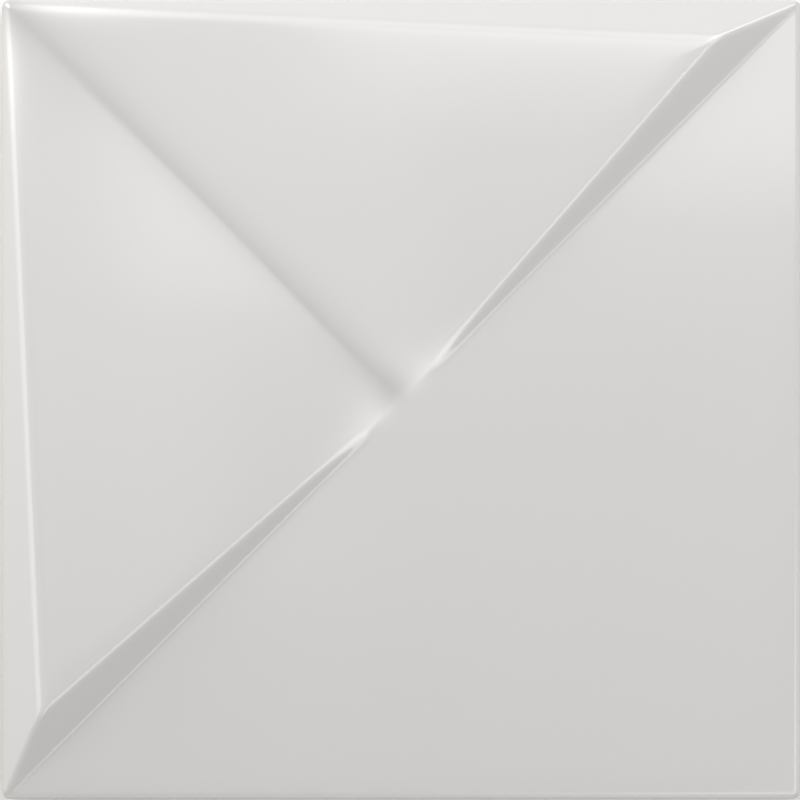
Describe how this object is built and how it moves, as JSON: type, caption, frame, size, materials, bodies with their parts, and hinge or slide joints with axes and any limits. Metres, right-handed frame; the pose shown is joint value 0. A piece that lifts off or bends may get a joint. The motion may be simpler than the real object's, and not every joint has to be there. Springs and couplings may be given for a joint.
{
  "type": "ceramic wall tile",
  "caption": "Square glazed relief wall tile: raised triangular faces folded along a diagonal valley, beside a flat triangular half, with a ribbed back for adhesive.",
  "frame": {"origin": "middle of the back, on the plane of the ribs that lie against the wall", "axes": "+Z out of the glazed face, away from the wall; +Y towards the rim that is at the top of the picture; +X to the right as seen from the front"},
  "size_m": [0.15, 0.15, 0.0127],
  "materials": {
    "glazed_body": "glossy off-white glaze on the face, over the rim and part of the edges; bare biscuit on the lower edges and the back"
  },
  "bodies": {
    "root": {"wall_tile": "glazed_body"}
  },
  "joints": []
}
